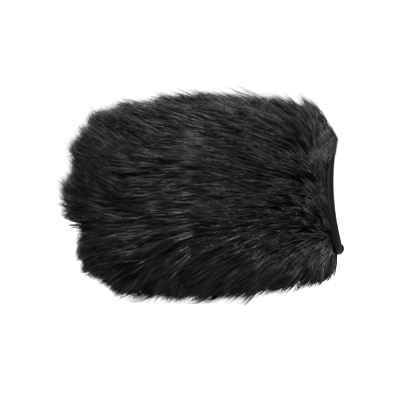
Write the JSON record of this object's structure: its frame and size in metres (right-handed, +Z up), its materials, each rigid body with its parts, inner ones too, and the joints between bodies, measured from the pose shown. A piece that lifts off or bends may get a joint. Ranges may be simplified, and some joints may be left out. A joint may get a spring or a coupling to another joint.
{
  "type": "furry windscreen",
  "caption": "Long-pile fur sleeve, closed at one end, foam and fabric lined, with an elastic hem that stretches open to take the head of a handheld recorder.",
  "frame": {"origin": "middle of the footprint, on the flat underside that the sleeve rests on", "axes": "+X along the sleeve from the closed end to the mouth, +Y from the front panel to the back panel, +Z up"},
  "size_m": [0.1508, 0.088, 0.104],
  "materials": {
    "pile": "long black acrylic pile, glossy along the fibre",
    "binding": "smooth black stretch binding, fine rib",
    "elastic": "braid-covered round elastic cord, matte",
    "thread": "twisted polyester thread, slight sheen",
    "foam": "open-cell polyurethane foam",
    "lining": "warp-knit mesh lining",
    "tag": "woven satin label tape, blank"
  },
  "bodies": {
    "cover": {"fur_front_panel": "pile", "fur_back_panel": "pile", "fur_end_panel": "pile", "top_seam_thread": "thread", "bottom_seam_thread": "thread", "end_seam_thread": "thread", "foam_sleeve": "foam", "foam_end_pad": "foam", "lining_sleeve": "lining", "lining_end_disc": "lining", "lining_end_thread": "thread", "side_tag": "tag", "hem_join_tab": "binding", "elastic_join": "elastic", "join_bar_tack": "thread"},
    "front_lip": {"hem_binding_front": "binding", "hem_elastic_front": "elastic", "hem_thread_front": "thread"},
    "back_lip": {"hem_binding_back": "binding", "hem_elastic_back": "elastic", "hem_thread_back": "thread"}
  },
  "joints": [
    {"name": "front_lip_stretch", "type": "slide", "parent": "cover", "child": "front_lip", "axis": [0, -1, 0], "range_m": [0, 0.012]},
    {"name": "back_lip_stretch", "type": "slide", "parent": "cover", "child": "back_lip", "axis": [0, 1, 0], "range_m": [0, 0.012]}
  ],
  "couplings": [
    {"joint": "back_lip_stretch", "follows": "front_lip_stretch", "ratio": 1}
  ]
}
